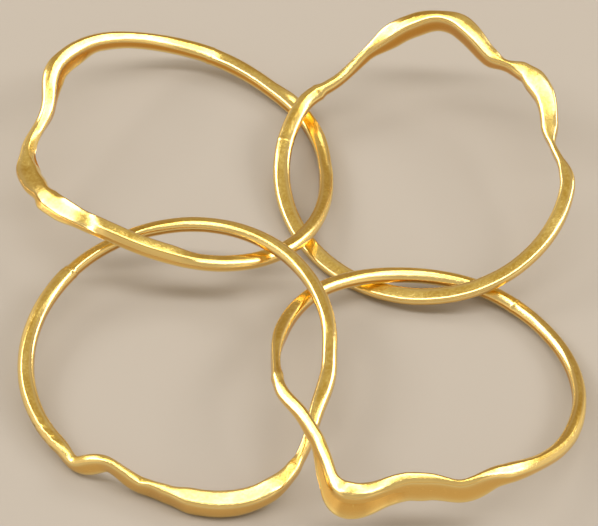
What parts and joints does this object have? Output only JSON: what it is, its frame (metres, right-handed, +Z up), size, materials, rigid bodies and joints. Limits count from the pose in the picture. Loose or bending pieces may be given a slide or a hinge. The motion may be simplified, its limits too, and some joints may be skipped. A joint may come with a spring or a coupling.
{
  "type": "puzzle ring",
  "caption": "Gold-coloured finger puzzle ring opened out: linked closed bands with waved fronts lie on a table, and each slides round through its neighbours.",
  "frame": {"origin": "middle of the laid-out bands, on the table that they lie on", "axes": "+X to the right, +Y to the back, +Z up from the table"},
  "size_m": [0.0368, 0.0386, 0.0067],
  "materials": {
    "gold": "satin sides with polished edges and lightly scratched, gold-coloured metal"
  },
  "bodies": {
    "lower_left_band": {"lower_left_band": "gold"},
    "upper_left_band": {"upper_left_band": "gold"},
    "upper_right_band": {"upper_right_band": "gold"},
    "lower_right_band": {"lower_right_band": "gold"}
  },
  "joints": [
    {"name": "upper_left_turn", "type": "hinge", "parent": "lower_left_band", "child": "upper_left_band", "pos_m": [-0.00773, 0.00873, 0.00269], "axis": [0.1964, 0.1089, 0.9744], "range_deg": [-90, 75]},
    {"name": "upper_right_turn", "type": "hinge", "parent": "lower_left_band", "child": "upper_right_band", "pos_m": [0.00783, 0.00863, 0.00266], "axis": [-0.1681, -0.1681, 0.9713], "range_deg": [-60, 90]},
    {"name": "lower_right_turn", "type": "hinge", "parent": "lower_left_band", "child": "lower_right_band", "pos_m": [0.00838, -0.00843, 0.00231], "axis": [0.1213, 0.1256, 0.9846], "range_deg": [-50, 80]}
  ]
}
